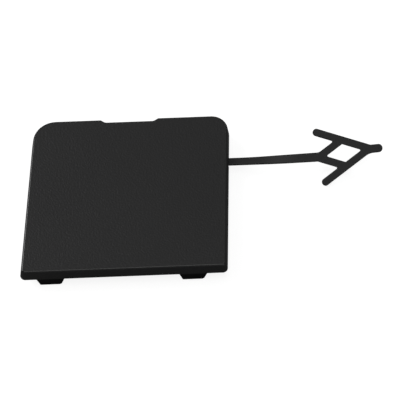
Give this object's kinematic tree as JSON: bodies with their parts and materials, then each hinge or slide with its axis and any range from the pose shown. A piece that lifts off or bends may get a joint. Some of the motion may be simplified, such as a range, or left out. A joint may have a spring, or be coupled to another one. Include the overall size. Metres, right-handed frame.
{
  "type": "bumper tow hook cover",
  "caption": "Snap-in cover for the tow hook opening of a car bumper, with hooking lugs, a snap latch and a flat tether strap that ends in an arrow-shaped anchor",
  "frame": {"origin": "middle of the lower rim's seating face, which bears on the bumper around the opening", "axes": "+X along the lower edge towards the tether strap, +Y up the cover towards the pry notch, +Z out of the visible face"},
  "size_m": [0.1466, 0.0704, 0.0116],
  "materials": {
    "body": "fine spark-eroded grain, unpainted polypropylene"
  },
  "bodies": {
    "root": {"cover": "body"}
  },
  "joints": []
}
